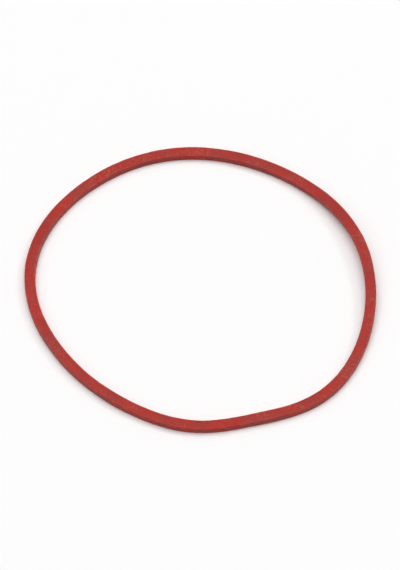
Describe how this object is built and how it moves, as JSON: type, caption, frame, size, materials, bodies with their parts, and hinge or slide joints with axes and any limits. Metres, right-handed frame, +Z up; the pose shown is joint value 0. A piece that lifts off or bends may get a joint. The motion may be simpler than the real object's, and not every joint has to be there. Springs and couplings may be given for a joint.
{
  "type": "rubber band",
  "caption": "Closed loop of red rubber with a near-square section, cut from an extruded tube, lying relaxed and slightly out of round.",
  "frame": {"origin": "bottom centre of the loop's box, on the surface that the band lies on", "axes": "+Z up, square to the plane of the loop; +X to the right and +Y to the back of the picture's view"},
  "size_m": [0.0516, 0.0488, 0.0023],
  "materials": {
    "red_rubber": "satin"
  },
  "bodies": {
    "root": {"rubber_band": "red_rubber"}
  },
  "joints": []
}
